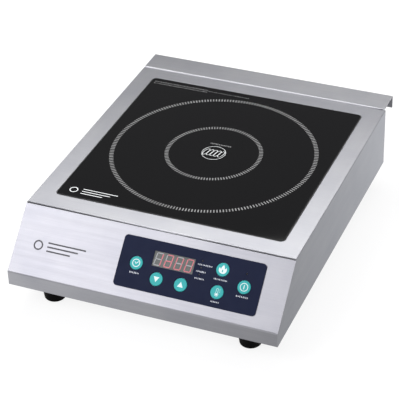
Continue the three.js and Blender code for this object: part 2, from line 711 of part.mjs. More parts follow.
function fanFrame() {
  const [bottom, top] = [FLOOR_Z, FLOOR_Z + FAN.height];
  const through = [bottom - OVERLAP, top + OVERLAP];
  const reach = FAN.side / 2 - FAN_SCREW_HOLE.inset;
  const screwHoles = [[-1, -1], [1, -1], [-1, 1], [1, 1]].map(([sx, sy]) => {
    return post(FAN_SCREW_HOLE.radius, ...through, FACETS.tiny, sx * reach, sy * reach);
  });
  const outline = roundedRect(FAN.side, FAN.side, FAN.cornerRadius);
  const shroud = cut(plate(outline, [circle(FAN.boreRadius)], bottom, top, 4), ...screwHoles);
  const hub = post(FAN_STRUT.hubRadius, bottom, bottom + FAN.floor, FACETS.medium);
  const struts = [];
  for (let i = 0; i < FAN_STRUT.count; i += 1) {
    const length = [FAN_STRUT.hubRadius - OVERLAP * 2, FAN.boreRadius + OVERLAP];
    const strut = box(length, [-FAN_STRUT.width / 2, FAN_STRUT.width / 2], [bottom, bottom + FAN.floor]);
    struts.push(strut.rotateZ((i * 2 * Math.PI) / FAN_STRUT.count));
  }
  return join(shroud, hub, ...struts).translate(FAN.x, FAN.y, 0);
}

function fanRotor() {
  const bottom = FLOOR_Z + FAN.floor + 2 * GAP;
  const hub = post(ROTOR.hubRadius, bottom, bottom + ROTOR.hubHeight, FACETS.medium);
  const inner = ROTOR.hubRadius - OVERLAP * 2;
  const blades = [];
  for (let i = 0; i < ROTOR.blades; i += 1) {
    const blade = new THREE.BoxGeometry(ROTOR.bladeEnd - inner, ROTOR.bladeThickness, ROTOR.bladeChord);
    blade.rotateX(Math.PI / 4).translate((inner + ROTOR.bladeEnd) / 2, 0, bottom + ROTOR.hubHeight / 2);
    blades.push(blade.rotateZ((i * 2 * Math.PI) / ROTOR.blades));
  }
  return join(hub, ...blades).translate(FAN.x, FAN.y, 0);
}

// ---------------------------------------------------------------- cable entry

// Parts of the gland are made along +Z and then laid along +Y at the rear wall.
function alongRear(geometry, y) {
  return geometry.rotateX(-Math.PI / 2).translate(GLAND.x, y, GLAND.z);
}

function cableGland() {
  const { boreRadius, threadRadius, hexRadius, hexLength } = GLAND;
  const inside = SHEET + GAP + GLAND_THREAD_INSIDE;
  const thread = post(threadRadius, -inside, OVERLAP, FACETS.medium);
  const hex = post(hexRadius, 0, hexLength, HEX);
  const mouth = hexLength + GLAND_DOME.length;
  const dome = turned(
    [
      [0, hexLength - OVERLAP],
      [GLAND_DOME.radius, hexLength - OVERLAP],
      [GLAND_DOME.radius, mouth - GLAND_DOME.taper],
      [GLAND_DOME.mouthRadius, mouth],
      [0, mouth],
    ],
    FACETS.medium,
  );
  const bore = post(boreRadius, -inside - OVERLAP, mouth + OVERLAP, FACETS.medium);
  return alongRear(cut(join(thread, hex, dome), bore), REAR_Y + GAP);
}

function glandNut() {
  const { hexRadius, length } = GLAND_NUT;
  const hole = post(GLAND.threadRadius + GAP, -length - OVERLAP, OVERLAP, FACETS.medium);
  return alongRear(cut(post(hexRadius, -length, 0, HEX), hole), REAR_Y - SHEET - GAP);
}

function terminalBlock() {
  const { length, depth, height, x, y } = TERMINAL_BLOCK;
  return block([length, depth, height], x, y, FLOOR_Z);
}

// ------------------------------------------------------------------ assembly

function place(group, name, geometry, finish, [x, y, z] = [0, 0, 0]) {
  const mesh = new THREE.Mesh(geometry, new THREE.MeshStandardMaterial(FINISHES[finish]));
  mesh.name = name;
  mesh.position.set(x, y, z);
  group.add(mesh);
  return mesh;
}

function addCase(hob, toSlope) {
  place(hob, "top_casing", topCasing(), "steel");
  place(hob, "front_panel", frontPanel(toSlope), "steel");
  place(hob, "rear_panel", rearPanel(), "steel");
  place(hob, "base_pan", basePan(), "zincSteel");
  place(hob, "glass_plate", glassPlate(), "blackGlass");
  place(hob, "glass_seal", glassSeal(), "sealant");
  for (const [corner, [x, y]] of Object.entries(FEET)) {
    place(hob, `foot_${corner}`, foot(), "rubber", [x, y, 0]);
    place(hob, `foot_screw_${corner}`, footScrew(), "zincSteel", [x, y, 0]);
  }
}

function addControls(slope) {
  place(slope, "control_overlay", controlOverlay(), "navyFilm");
  place(slope, "display_window", displayWindow(), "smokedWindow");
  place(slope, "display_module", displayModule(), "blackPlastic");
  place(slope, "control_board", controlBoard(), "circuitBoard");
  place(slope, "board_carrier", boardCarrier(), "blackPlastic");
  for (const [name, [x, y]] of Object.entries(KEYS)) {
    place(slope, `key_${name}`, keyCap(), "teal", [x, y, 0]);
    place(slope, `switch_${name}`, keySwitch(), "blackPlastic", [x, y, 0]);
  }
  for (const [name, [x, y]] of Object.entries(LEDS)) {
    place(slope, `lamp_${name}`, lamp(), "redLamp", [x, y, 0]);
  }
}

function addCoil(hob) {
  place(hob, "mica_sheet", micaSheet(), "mica");
  place(hob, "coil_winding", coilWinding(), "copper");
  place(hob, "coil_former", coilFormer(), "whitePlastic");
  place(hob, "temperature_sensor", temperatureSensor(), "whitePlastic");
  place(hob, "coil_bracket", coilBracket(), "aluminium");
  for (let i = 0; i < FERRITE.count; i += 1) {
    const bar = place(hob, `ferrite_bar_${i + 1}`, ferriteBar(), "ferrite", [0, ZONE_Y, FERRITE_TOP_Z]);
    bar.rotation.z = (i * 2 * Math.PI) / FERRITE.count;
  }
}

function addElectronics(hob) {
  place(hob, "power_board", powerBoard(), "circuitBoard");
  place(hob, "heatsink", heatsink(), "aluminium");
  for (const [name, part] of Object.entries(COMPONENTS)) {
    place(hob, name, component(part), part.finish);
  }
  place(hob, "filter_choke", filterChoke(), "copper");
  place(hob, "terminal_block", terminalBlock(), "whitePlastic");
  place(hob, "ribbon_cable", ribbonCable(), "cable");
  place(hob, "fan_frame", fanFrame(), "blackPlastic");
  place(hob, "fan_rotor", fanRotor(), "blackPlastic");
  place(hob, "cable_gland", cableGland(), "blackPlastic");
  place(hob, "gland_nut", glandNut(), "blackPlastic");
}

const hob = new THREE.Group();
const slope = new THREE.Group();
slope.position.set(0, FRONT_Y, LIP_Z);
slope.rotation.x = SLOPE_ANGLE;
slope.updateMatrix();
hob.add(slope);

addCase(hob, slope.matrix);
addControls(slope);
addCoil(hob);
addElectronics(hob);

export default hob;
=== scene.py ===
"""Looks of a countertop induction hob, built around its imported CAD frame.

Everything is in metres in the frame's own axes: +X right, +Y back, +Z up, and the
controls face -Y. Flat shapes are drawn in millimetres and scaled by MM.
"""

import json
import math
import random

import bmesh
import bpy
from mathutils import Matrix, Vector


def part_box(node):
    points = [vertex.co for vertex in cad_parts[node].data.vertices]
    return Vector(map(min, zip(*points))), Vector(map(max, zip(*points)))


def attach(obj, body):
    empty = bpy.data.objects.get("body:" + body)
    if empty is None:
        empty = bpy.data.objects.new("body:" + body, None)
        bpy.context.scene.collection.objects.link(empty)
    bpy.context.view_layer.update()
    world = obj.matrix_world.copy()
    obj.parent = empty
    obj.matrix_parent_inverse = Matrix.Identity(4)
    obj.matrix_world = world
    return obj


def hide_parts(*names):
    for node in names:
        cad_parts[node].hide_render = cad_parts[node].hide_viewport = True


MM = 0.001
CASE_BODY = "case"
KEY_NAMES = ("timer", "down", "up", "heating", "temperature", "power")
LAMP_NAMES = ("heating", "temperature", "timer", "power")
CORNERS = ("front_left", "front_right", "rear_left", "rear_right")
STROKE_SEED = 7

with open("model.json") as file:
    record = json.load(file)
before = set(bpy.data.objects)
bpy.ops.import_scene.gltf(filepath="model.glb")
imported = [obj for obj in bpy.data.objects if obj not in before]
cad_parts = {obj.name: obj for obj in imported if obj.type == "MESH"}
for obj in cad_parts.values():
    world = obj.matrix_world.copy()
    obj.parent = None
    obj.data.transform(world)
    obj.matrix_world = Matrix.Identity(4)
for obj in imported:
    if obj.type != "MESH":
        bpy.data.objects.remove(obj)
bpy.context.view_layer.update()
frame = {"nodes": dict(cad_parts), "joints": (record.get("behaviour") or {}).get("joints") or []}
random.seed(STROKE_SEED)


# ------------------------------------------------------------------- the frame


def centre(node):
    low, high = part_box(node)
    return (low + high) / 2


def press_axis():
    """The way the keys travel: straight into the sloping panel."""
    joint = next(j for j in frame["joints"] if j["name"] == "timer_key_press")
    return Vector(joint["axis"]).normalized()


def slope_frame():
    """X to the right, Y up the slope from its lower bend, Z out of the panel."""
    normal = -press_axis()
    up = Vector((0, normal.z, -normal.y))
    low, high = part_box("front_panel")
    end = Vector((0, high.y, high.z))
    origin = end - up * ((high.y - low.y) / up.y)
    axes = Matrix((Vector((1, 0, 0)), up, normal)).transposed().to_4x4()
    return Matrix.Translation(origin) @ axes


SLOPE = slope_frame()
SLOPE_INVERSE = SLOPE.inverted()
GLASS_LOW, GLASS_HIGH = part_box("glass_plate")
ZONE = Vector((0, (GLASS_LOW.y + GLASS_HIGH.y) / 2, GLASS_HIGH.z))
GLASS = Matrix.Translation(ZONE)


def on_slope(node):
    """A node's centre in the slope's frame, in millimetres: across and up the slope."""
    mesh = frame["nodes"][node].data
    points = [SLOPE_INVERSE @ v.co for v in mesh.vertices]
    across = [p.x for p in points]
    along = [p.y for p in points]
    return (min(across) + max(across)) / 2 / MM, (min(along) + max(along)) / 2 / MM


# ------------------------------------------------------------ camera and light

CAMERA_YAW = math.radians(23.444)
CAMERA_ELEVATION = math.radians(34.245)
CAMERA_ROLL = math.radians(-1.971)
CAMERA_LENS = 143.18
CAMERA_PLACE = Vector((0.61935, -1.46005, 1.12585))
CAMERA_CLIP = (0.05, 60)

WORLD_LIGHT = (0.74, 0.74, 0.76)
WORLD_DIM = (0.2, 0.2, 0.21)
DIM_SIDE = (-0.36, 0.82, 0.45)
DIM_FROM = 0.35
DIM_TO = 0.85
FLOOR_SIDE = 12.0
SOFT_BOXES = {
    "front_box": {
        "place": (-1.3, -1.65, 1.95),
        "aim": (0, -0.15, 0.05),
        "size": (1.3, 1.3),
        "radiance": 5.0,
        "colour": (0.98, 0.965, 1.0),
    },
    "top_box": {
        "place": (-0.28, 0.5, 1.0),
        "aim": (0, -0.1, 0.1),
        "size": (1.2, 0.6),
        "radiance": 5.15,
        "colour": (1.0, 1.0, 0.985),
    },
    "back_box": {
        "place": (1.1, 2.3, 0.75),
        "aim": (0.05, 0.2, 0.05),
        "size": (1.6, 0.6),
        "radiance": 2.2,
        "colour": (1.0, 1.0, 1.0),
    },
}


def add_camera():
    data = bpy.data.cameras.new("camera")
    data.lens = CAMERA_LENS
    data.clip_start, data.clip_end = CAMERA_CLIP
    camera = bpy.data.objects.new("camera", data)
    flat = math.cos(CAMERA_ELEVATION)
    back = Vector((
        math.sin(CAMERA_YAW) * flat,
        -math.cos(CAMERA_YAW) * flat,
        math.sin(CAMERA_ELEVATION),
    ))
    right = (-back).cross(Vector((0, 0, 1))).normalized()
    up = back.cross(right)
    turn = Matrix.Rotation(CAMERA_ROLL, 3, back)
    axes = Matrix((turn @ right, turn @ up, back)).transposed().to_4x4()
    camera.matrix_world = Matrix.Translation(CAMERA_PLACE) @ axes
    bpy.context.collection.objects.link(camera)
    bpy.context.scene.camera = camera


def add_soft_box(name, place, aim, size, radiance, colour):
    """A rectangular area light whose face looks equally bright whatever its size."""
    data = bpy.data.lights.new(name, "AREA")
    data.shape = "RECTANGLE"
    data.size, data.size_y = size
    data.energy = radiance * math.pi * size[0] * size[1]
    data.color = colour
    light = bpy.data.objects.new(name, data)
    direction = Vector(aim) - Vector(place)
    light.location = place
    light.rotation_euler = direction.to_track_quat("-Z", "Y").to_euler()
    bpy.context.collection.objects.link(light)


def add_world():
    """Even studio light, dimmer behind the object so that the glass stays black."""
    world = bpy.data.worlds.new("studio")
    world.use_nodes = True
    tree = world.node_tree
    source = tree.nodes.new("ShaderNodeTexCoord")
    facing = tree.nodes.new("ShaderNodeVectorMath")
    facing.operation = "DOT_PRODUCT"
    facing.inputs[1].default_value = Vector(DIM_SIDE).normalized()
    ramp = tree.nodes.new("ShaderNodeValToRGB")
    ramp.color_ramp.interpolation = "EASE"
    ramp.color_ramp.elements[0].position = DIM_FROM
    ramp.color_ramp.elements[0].color = (*WORLD_LIGHT, 1)
    ramp.color_ramp.elements[1].position = DIM_TO
    ramp.color_ramp.elements[1].color = (*WORLD_DIM, 1)
    tree.links.new(source.outputs["Generated"], facing.inputs[0])
    tree.links.new(facing.outputs["Value"], ramp.inputs["Fac"])
    tree.links.new(ramp.outputs["Color"], tree.nodes["Background"].inputs["Color"])
    bpy.context.scene.world = world


def add_floor():
    mesh = bpy.data.meshes.new("floor")
    half = FLOOR_SIDE / 2
    corners = [(-half, -half, 0), (half, -half, 0), (half, half, 0), (-half, half, 0)]
    mesh.from_pydata(corners, [], [(0, 1, 2, 3)])
    floor = bpy.data.objects.new("floor", mesh)
    floor.data.materials.append(FLOOR)
    bpy.context.collection.objects.link(floor)


def add_studio():
    add_world()
    add_floor()
    for name, settings in SOFT_BOXES.items():
        add_soft_box(name, **settings)
    bpy.context.scene.view_settings.view_transform = "Standard"


# ------------------------------------------------------------------- materials

NOISE_LOW, NOISE_HIGH = 0.3, 0.7
BRUSH = {"across": 2600.0, "along": 14.0, "depth": 0.00001, "strength": 0.3}
STREAKS = {"across": 260.0, "along": 5.0, "spread": 0.03}
PATCHES = {"scale": (22.0, 22.0, 30.0), "tint": (1, 0.9, 0.5)}
MOULD = {"tone_scale": 40.0, "gloss_scale": 120.0, "gloss_spread": 0.1, "strength": 0.4}
GLASS_TONES = ((0.0072, 0.0072, 0.0075), (0.0088, 0.0088, 0.0091))
GLASS_GLOSS = (0.035, 0.06)
GLASS_SPECKS = 900.0
GLASS_SMEARS = (14.0, 30.0, 14.0)
FLOOR_GLOW = 0.84
SEGMENT_GLOW = 0.2


def new_material(name, colour, roughness, metallic=0.0, **settings):
    """A Principled material; settings are further sockets, by name with _ for spaces."""
    material = bpy.data.materials.new(name)
    material.use_nodes = True
    shader = material.node_tree.nodes["Principled BSDF"]
    shader.inputs["Base Color"].default_value = (*colour, 1)
    shader.inputs["Roughness"].default_value = roughness
    shader.inputs["Metallic"].default_value = metallic
    for socket, value in settings.items():
        shader.inputs[socket.replace("_", " ")].default_value = value
    return material


def texture_coordinates(tree, scale):
    """Object coordinates, in metres, times scale per axis."""
    source = tree.nodes.new("ShaderNodeTexCoord")
    mapping = tree.nodes.new("ShaderNodeMapping")
    mapping.inputs["Scale"].default_value = scale
    tree.links.new(source.outputs["Object"], mapping.inputs["Vector"])
    return mapping.outputs["Vector"]


def noise(tree, scale, detail=2.0):
    """Noise whose grains are about 1 / scale metres along each axis."""
    node = tree.nodes.new("ShaderNodeTexNoise")
    node.inputs["Scale"].default_value = 1.0
    node.inputs["Detail"].default_value = detail
    tree.links.new(texture_coordinates(tree, scale), node.inputs["Vector"])
    return node.outputs["Fac"]


def spread(tree, value, low, high):
    """Maps the middle of a noise's range onto low to high."""
    node = tree.nodes.new("ShaderNodeMapRange")
    node.inputs["From Min"].default_value = NOISE_LOW
    node.inputs["From Max"].default_value = NOISE_HIGH
    node.inputs["To Min"].default_value = low
    node.inputs["To Max"].default_value = high
    tree.links.new(value, node.inputs["Value"])
    return node.outputs["Result"]


def colour_ramp(tree, value, dark, light):
    """A colour that runs from dark to light as the noise value rises."""
    ramp = tree.nodes.new("ShaderNodeValToRGB")
    ramp.color_ramp.elements[0].position = NOISE_LOW
    ramp.color_ramp.elements[0].color = (*dark, 1)
    ramp.color_ramp.elements[1].position = NOISE_HIGH
    ramp.color_ramp.elements[1].color = (*light, 1)
    tree.links.new(value, ramp.inputs["Fac"])
    return ramp.outputs["Color"]


def vary_colour(material, value, dark, light):
    tree = material.node_tree
    shader = tree.nodes["Principled BSDF"]
    tree.links.new(colour_ramp(tree, value, dark, light), shader.inputs["Base Color"])


def multiply_colour(material, factor):
    """Multiplies a varied base colour by a node's output."""
    tree = material.node_tree
    base = tree.nodes["Principled BSDF"].inputs["Base Color"]
    multiply = tree.nodes.new("ShaderNodeVectorMath")
    multiply.operation = "MULTIPLY"
    tree.links.new(base.links[0].from_socket, multiply.inputs[0])
    tree.links.new(factor, multiply.inputs[1])
    tree.links.new(multiply.outputs["Vector"], base)


def painted_light_ramp(material, axis, start, end, low, high):
    """Painted light and shade: scales the base colour along one axis, from the factor
    low at start metres to the factor high at end metres."""
    tree = material.node_tree
    split = tree.nodes.new("ShaderNodeSeparateXYZ")
    tree.links.new(texture_coordinates(tree, (1.0, 1.0, 1.0)), split.inputs["Vector"])
    tone = tree.nodes.new("ShaderNodeMapRange")
    tone.inputs["From Min"].default_value = start
    tone.inputs["From Max"].default_value = end
    tone.inputs["To Min"].default_value = low
    tone.inputs["To Max"].default_value = high
    tree.links.new(split.outputs[axis], tone.inputs["Value"])
    multiply_colour(material, tone.outputs["Result"])


def vary_roughness(material, value, low, high):
    tree = material.node_tree
    shader = tree.nodes["Principled BSDF"]
    tree.links.new(spread(tree, value, low, high), shader.inputs["Roughness"])


def add_bump(material, value, height, strength=1.0):
    """Relief of the given height in metres."""
    tree = material.node_tree
    bump = tree.nodes.new("ShaderNodeBump")
    bump.inputs["Strength"].default_value = strength
    bump.inputs["Distance"].default_value = height
    tree.links.new(value, bump.inputs["Height"])
    tree.links.new(bump.outputs["Normal"], tree.nodes["Principled BSDF"].inputs["Normal"])


def shade(colour, factor):
    """The colour made lighter or darker by a factor."""
    return tuple(channel * factor for channel in colour)


def along_grain(lines, grain):
    """Noise scales that draw lines out along the grain axis."""
    return [lines["along"] if axis == grain else lines["across"] for axis in range(3)]


def brushed_steel(name, colour, roughness, grain, contrast=0.04, mottle=0.05):
    """Sheet steel with fine brush lines along the grain axis (0 = X, 1 = Y, 2 = Z) and
    broad, slightly bluish patches."""
    material = new_material(name, colour, roughness, metallic=1.0)
    tree = material.node_tree
    fine = noise(tree, along_grain(BRUSH, grain), detail=3.0)
    vary_colour(material, fine, shade(colour, 1 - contrast), shade(colour, 1 + contrast))
    broad = noise(tree, PATCHES["scale"], detail=3.0)
    bluish = tuple(1 - mottle * share for share in PATCHES["tint"])
    multiply_colour(material, colour_ramp(tree, broad, bluish, (1 + mottle,) * 3))
    streaks = noise(tree, along_grain(STREAKS, grain))
    change = STREAKS["spread"]
    vary_roughness(material, streaks, roughness * (1 - change), roughness * (1 + change))
    add_bump(material, fine, BRUSH["depth"], BRUSH["strength"])
    return material


def moulded(name, colour, roughness, grain=1800.0, contrast=0.06, depth=0.00002, **settings):
    """Moulded plastic or rubber: a fine surface texture and slight tone variation."""
    material = new_material(name, colour, roughness, **settings)
    tree = material.node_tree
    broad = noise(tree, (MOULD["tone_scale"],) * 3)
    vary_colour(material, broad, shade(colour, 1 - contrast), shade(colour, 1 + contrast))
    gloss = noise(tree, (MOULD["gloss_scale"],) * 3)
    change = MOULD["gloss_spread"]
    vary_roughness(material, gloss, roughness * (1 - change), roughness * (1 + change))
    add_bump(material, noise(tree, (grain,) * 3, detail=3.0), depth, MOULD["strength"])
    return material


def ink(name, colour, contrast, roughness=0.45):
    """A printed ink with almost no relief."""
    return moulded(name, colour, roughness, contrast=contrast, depth=0.000004)


def polished_glass():
    """Black ceramic glass with faint smears in its gloss."""
    tone, gloss = GLASS_TONES[0], GLASS_GLOSS[0]
    material = new_material("black_glass", tone, gloss, Specular_IOR_Level=0.15)
    tree = material.node_tree
    specks = noise(tree, (GLASS_SPECKS,) * 3, detail=1.0)
    vary_colour(material, specks, *GLASS_TONES)
    smears = noise(tree, GLASS_SMEARS, detail=4.0)
    vary_roughness(material, smears, *GLASS_GLOSS)
    return material


def lit_paper():
    """White paper sweep with its own light, so that shadows on it stay faint."""
    material = moulded("floor_paper", (0.2, 0.2, 0.2), 0.9, grain=300.0, contrast=0.004, depth=0.0)
    shader = material.node_tree.nodes["Principled BSDF"]
    shader.inputs["Emission Color"].default_value = (1, 1, 1, 1)
    shader.inputs["Emission Strength"].default_value = FLOOR_GLOW
    shader.inputs["Specular IOR Level"].default_value = 0.0
    return material


STEEL_TINT = (0.308, 0.309, 0.328)
SHEET_ROUGHNESS = 0.42
FLOOR = lit_paper()
STEEL = brushed_steel("case_steel", STEEL_TINT, SHEET_ROUGHNESS, grain=0)
# Painted shade: a darker copy of the case steel for the sides of the same sheet, painted darker at
# the front and lighter towards the rear.
SIDE_PAINTED_SHADE_STEEL = brushed_steel("case_steel_sides_painted_shade", (0.255, 0.262, 0.287), 0.4, grain=1)
painted_light_ramp(SIDE_PAINTED_SHADE_STEEL, "Y", start=-0.2, end=0.17, low=0.75, high=1.24)
# Painted light and shade: a copy of the case steel for the front lip, painted lighter at the left
# and darker at the right.
LIP_PAINTED_LIGHT_STEEL = brushed_steel("case_steel_lip_painted_light", STEEL_TINT, SHEET_ROUGHNESS, grain=0)
painted_light_ramp(LIP_PAINTED_LIGHT_STEEL, "X", start=-0.16, end=0.16, low=1.15, high=0.73)
LEDGE_STEEL = brushed_steel("case_steel_ledge", (0.345, 0.346, 0.363), SHEET_ROUGHNESS, grain=0)
PAN_STEEL = brushed_steel(
    "pan_steel", (0.36, 0.37, 0.385), SHEET_ROUGHNESS, grain=0, contrast=0.03
)
SCREW_STEEL = brushed_steel("screw_steel", (0.5, 0.5, 0.51), 0.3, grain=2, contrast=0.03)
BLACK_GLASS = polished_glass()
SEAL = moulded("seal_silicone", (0.012, 0.012, 0.012), 0.6)
FOOT_RUBBER = moulded(
    "foot_rubber",
    (0.0012, 0.0012, 0.0013),
    0.6,
    grain=900.0,
    depth=0.00006,
    Specular_IOR_Level=0.03,
)
NAVY_FILM = moulded(
    "navy_film",
    (0.0115, 0.0155, 0.039),
    0.5,
    grain=2600.0,
    depth=0.00001,
    Specular_IOR_Level=0.06,
)
TEAL = moulded(
    "key_teal",
    (0.045, 0.40, 0.40),
    0.45,
    contrast=0.05,
    depth=0.00001,
    Specular_IOR_Level=0.15,
)
WHITE_INK = ink("white_ink", (0.8, 0.82, 0.82), contrast=0.02)
ICON_INK = ink("icon_ink", (0.74, 0.86, 0.86), contrast=0.02)
CAPTION_INK = ink("caption_ink", (0.58, 0.6, 0.66), contrast=0.04)
RING_INK = ink("ring_ink", (0.235, 0.235, 0.235), contrast=0.1, roughness=0.5)
NOTE_INK = ink("note_ink", (0.155, 0.155, 0.155), contrast=0.2, roughness=0.5)
DARK_INK = ink("dark_ink", (0.03, 0.03, 0.035), contrast=0.05)
DISPLAY_BODY = moulded("display_body", (0.12, 0.125, 0.12), 0.5, contrast=0.12)
SEGMENT_OFF = moulded("segment_off", (0.44, 0.45, 0.47), 0.45, contrast=0.04)
LAMP_LENS = moulded("lamp_lens", (0.014, 0.012, 0.022), 0.3, contrast=0.05)
CIRCUIT = moulded("circuit_board", (0.012, 0.13, 0.04), 0.4, grain=1200.0)
BLACK_PLASTIC = moulded("black_plastic", (0.014, 0.014, 0.016), 0.5)
COPPER = moulded("copper_wire", (0.45, 0.15, 0.05), 0.35, Metallic=1.0)
FERRITE = moulded("ferrite", (0.024, 0.024, 0.027), 0.6)
MICA = moulded("mica", (0.66, 0.58, 0.42), 0.5, grain=300.0, contrast=0.12)
ALUMINIUM = brushed_steel("bracket_aluminium", (0.6, 0.61, 0.63), 0.4, grain=0, contrast=0.03)
BLUE_BOX = moulded("capacitor_blue", (0.02, 0.05, 0.2), 0.35)
GREY_CABLE = moulded("grey_cable", (0.33, 0.34, 0.36), 0.55)
WHITE_PLASTIC = moulded("white_plastic", (0.72, 0.7, 0.64), 0.45)


def lit_segment():
    """A glowing segment, washed out by the room's light."""
    material = moulded("segment_lit", (0.62, 0.15, 0.19), 0.4, contrast=0.05)
    shader = material.node_tree.nodes["Principled BSDF"]
    shader.inputs["Emission Color"].default_value = (0.9, 0.13, 0.18, 1)
    shader.inputs["Emission Strength"].default_value = SEGMENT_GLOW
    return material


def smoked_window():
    """Clear tinted film over the display: mostly see-through, with a gloss."""
    return new_material(
        "display_window", (0.2, 0.22, 0.2), 0.2, Alpha=0.08, Specular_IOR_Level=0.1
    )


SEGMENT_LIT = lit_segment()
WINDOW = smoked_window()


# --------------------------------------------------------------- mesh helpers

SMOOTH_BELOW = math.radians(30)
SHARP_ABOVE = math.radians(20)
FLAT_WITHIN = math.radians(0.6)
ON_AXIS = 1e-6
WELD = 1e-6
CAD_WELD = 2e-6
FLAT_FACE_WEIGHT = 100


def add_piece(name, mesh, material, body=CASE_BODY, stands_for=()):
    """Shows a finished mesh as a named piece that rides on a CAD body."""
    mesh.name = name
    mesh.materials.clear()
    mesh.materials.append(material)
    piece = bpy.data.objects.new(name, mesh)
    bpy.context.collection.objects.link(piece)
    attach(piece, body)
    if stands_for:
        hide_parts(*stands_for)
    return piece


def paint(node, material):
    """Gives a CAD node that is shown as it is its finished material."""
    mesh = frame["nodes"][node].data
    mesh.materials.clear()
    mesh.materials.append(material)


def smooth_by_angle(mesh):
    """Smooth shading that keeps every corner above SMOOTH_BELOW crisp."""
    for polygon in mesh.polygons:
        polygon.use_smooth = True
    mesh.set_sharp_from_angle(angle=SMOOTH_BELOW)


def mesh_from(build):
    """A mesh from a bmesh, with its normals made to face out."""
    bmesh.ops.recalc_face_normals(build, faces=build.faces)
    mesh = bpy.data.meshes.new("piece")
    build.to_mesh(mesh)
    build.free()
    smooth_by_angle(mesh)
    return mesh


def turned(profile, segments=48):
    """Solid of revolution about Z from (radius, z) points in millimetres, closed on the
    axis or on itself."""
    build = bmesh.new()
    rings = []
    for radius, z in profile:
        if radius < ON_AXIS:
            rings.append([build.verts.new((0, 0, z * MM))])
            continue
        ring = []
        for i in range(segments):
            angle = 2 * math.pi * i / segments
            place = (radius * math.cos(angle) * MM, radius * math.sin(angle) * MM, z * MM)
            ring.append(build.verts.new(place))
        rings.append(ring)
    closed = len(rings[0]) > 1
    pairs = list(zip(rings, rings[1:]))
    if closed:
        pairs.append((rings[-1], rings[0]))
    for lower, upper in pairs:
        for i in range(segments):
            j = (i + 1) % segments
            if len(lower) == 1 and len(upper) == 1:
                continue
            if len(lower) == 1:
                build.faces.new((lower[0], upper[i], upper[j]))
            elif len(upper) == 1:
                build.faces.new((lower[i], lower[j], upper[0]))
            else:
                build.faces.new((lower[i], lower[j], upper[j], upper[i]))
    return mesh_from(build)


def arc(x, y, radius, start, end, steps):
    """Points on an arc, angles in degrees."""
    points = []
    for i in range(steps + 1):
        angle = math.radians(start + (end - start) * i / steps)
        points.append((x + radius * math.cos(angle), y + radius * math.sin(angle)))
    return points


def disc(x, y, radius, steps=48):
    return arc(x, y, radius, 0, 360, steps)[:-1]


def rounded(x, y, width, height, radius, steps=6):
    """Outline of a rounded rectangle about its centre."""
    across, along = width / 2 - radius, height / 2 - radius
    points = []
    for quarter, (sx, sy) in enumerate(((1, 1), (-1, 1), (-1, -1), (1, -1))):
        start = 90 * quarter
        points += arc(x + sx * across, y + sy * along, radius, start, start + 90, steps)
    return points


def stroke(path, width):
    """Outline of a line of even width along an open path."""
    left, right = [], []
    for i, (x, y) in enumerate(path):
        before = path[max(i - 1, 0)]
        after = path[min(i + 1, len(path) - 1)]
        dx, dy = after[0] - before[0], after[1] - before[1]
        length = math.hypot(dx, dy)
        nx, ny = -dy / length * width / 2, dx / length * width / 2
        left.append((x + nx, y + ny))
        right.append((x - nx, y - ny))
    return left + right[::-1]


def hoop(x, y, radius, width, steps=48):
    """Two outlines that bound a ring."""
    return [disc(x, y, radius + width / 2, steps), disc(x, y, radius - width / 2, steps)]


def flat_mesh(outlines, bottom, top, place):
    """Closed outlines in millimetres, filled (an outline inside another is a hole) and
    given the thickness from bottom to top above the plane of place."""
    curve = bpy.data.curves.new("outline", "CURVE")
    curve.dimensions = "2D"
    curve.fill_mode = "BOTH"
    curve.extrude = (top - bottom) / 2 * MM
    for outline in outlines:
        spline = curve.splines.new("POLY")
        spline.points.add(len(outline) - 1)
        for point, (x, y) in zip(spline.points, outline):
            point.co = (x * MM, y * MM, 0, 1)
        spline.use_cyclic_u = True
    holder = bpy.data.objects.new("outline", curve)
    bpy.context.collection.objects.link(holder)
    bpy.context.view_layer.update()
    depsgraph = bpy.context.evaluated_depsgraph_get()
    raw = bpy.data.meshes.new_from_object(holder.evaluated_get(depsgraph))
    bpy.data.objects.remove(holder)
    bpy.data.curves.remove(curve)
    raw.transform(place @ Matrix.Translation((0, 0, (top + bottom) / 2 * MM)))
    build = bmesh.new()
    build.from_mesh(raw)
    bpy.data.meshes.remove(raw)
    bmesh.ops.remove_doubles(build, verts=build.verts, dist=WELD)
    return mesh_from(build)


def welded(node):
    """A bmesh of a CAD node with its flat faces whole again."""
    build = bmesh.new()
    build.from_mesh(frame["nodes"][node].data)
    bmesh.ops.remove_doubles(build, verts=build.verts, dist=CAD_WELD)
    bmesh.ops.dissolve_limit(
        build,
        angle_limit=FLAT_WITHIN,
        verts=build.verts,
        edges=build.edges,
    )
    return build


def softened(name, node, material, radius_of, body=CASE_BODY, segments=4):
    """A CAD piece shown with rounded edges. radius_of(edge) gives a radius in
    millimetres, or 0 for an edge that stays sharp. The bends take the piece's first
    finish, and the flat faces keep flat normals."""
    build = welded(node)
    weights = build.edges.layers.float.new("bevel_weight_edge")
    corners = [edge for edge in build.edges if edge.calc_face_angle(0) > SHARP_ABOVE]
    radii = [radius_of(edge) for edge in corners]
    widest = max(radii)
    for edge in build.edges:
        edge.smooth = True
    for edge, radius in zip(corners, radii):
        edge[weights] = radius / widest
        edge.smooth = radius > 0
    mesh = bpy.data.meshes.new(name)
    build.to_mesh(mesh)
    build.free()
    for polygon in mesh.polygons:
        polygon.use_smooth = True
    piece = add_piece(name, mesh, material, body, (node,))
    bevel = piece.modifiers.new("bends", "BEVEL")
    bevel.limit_method = "WEIGHT"
    bevel.offset_type = "OFFSET"
    bevel.width = widest * MM
    bevel.segments = segments
    bevel.miter_outer = "MITER_ARC"
    bevel.use_clamp_overlap = False
    bevel.material = 0
    normals = piece.modifiers.new("flat_faces", "WEIGHTED_NORMAL")
    normals.keep_sharp = True
    normals.weight = FLAT_FACE_WEIGHT
    return piece


# ------------------------------------------------------------------------ case

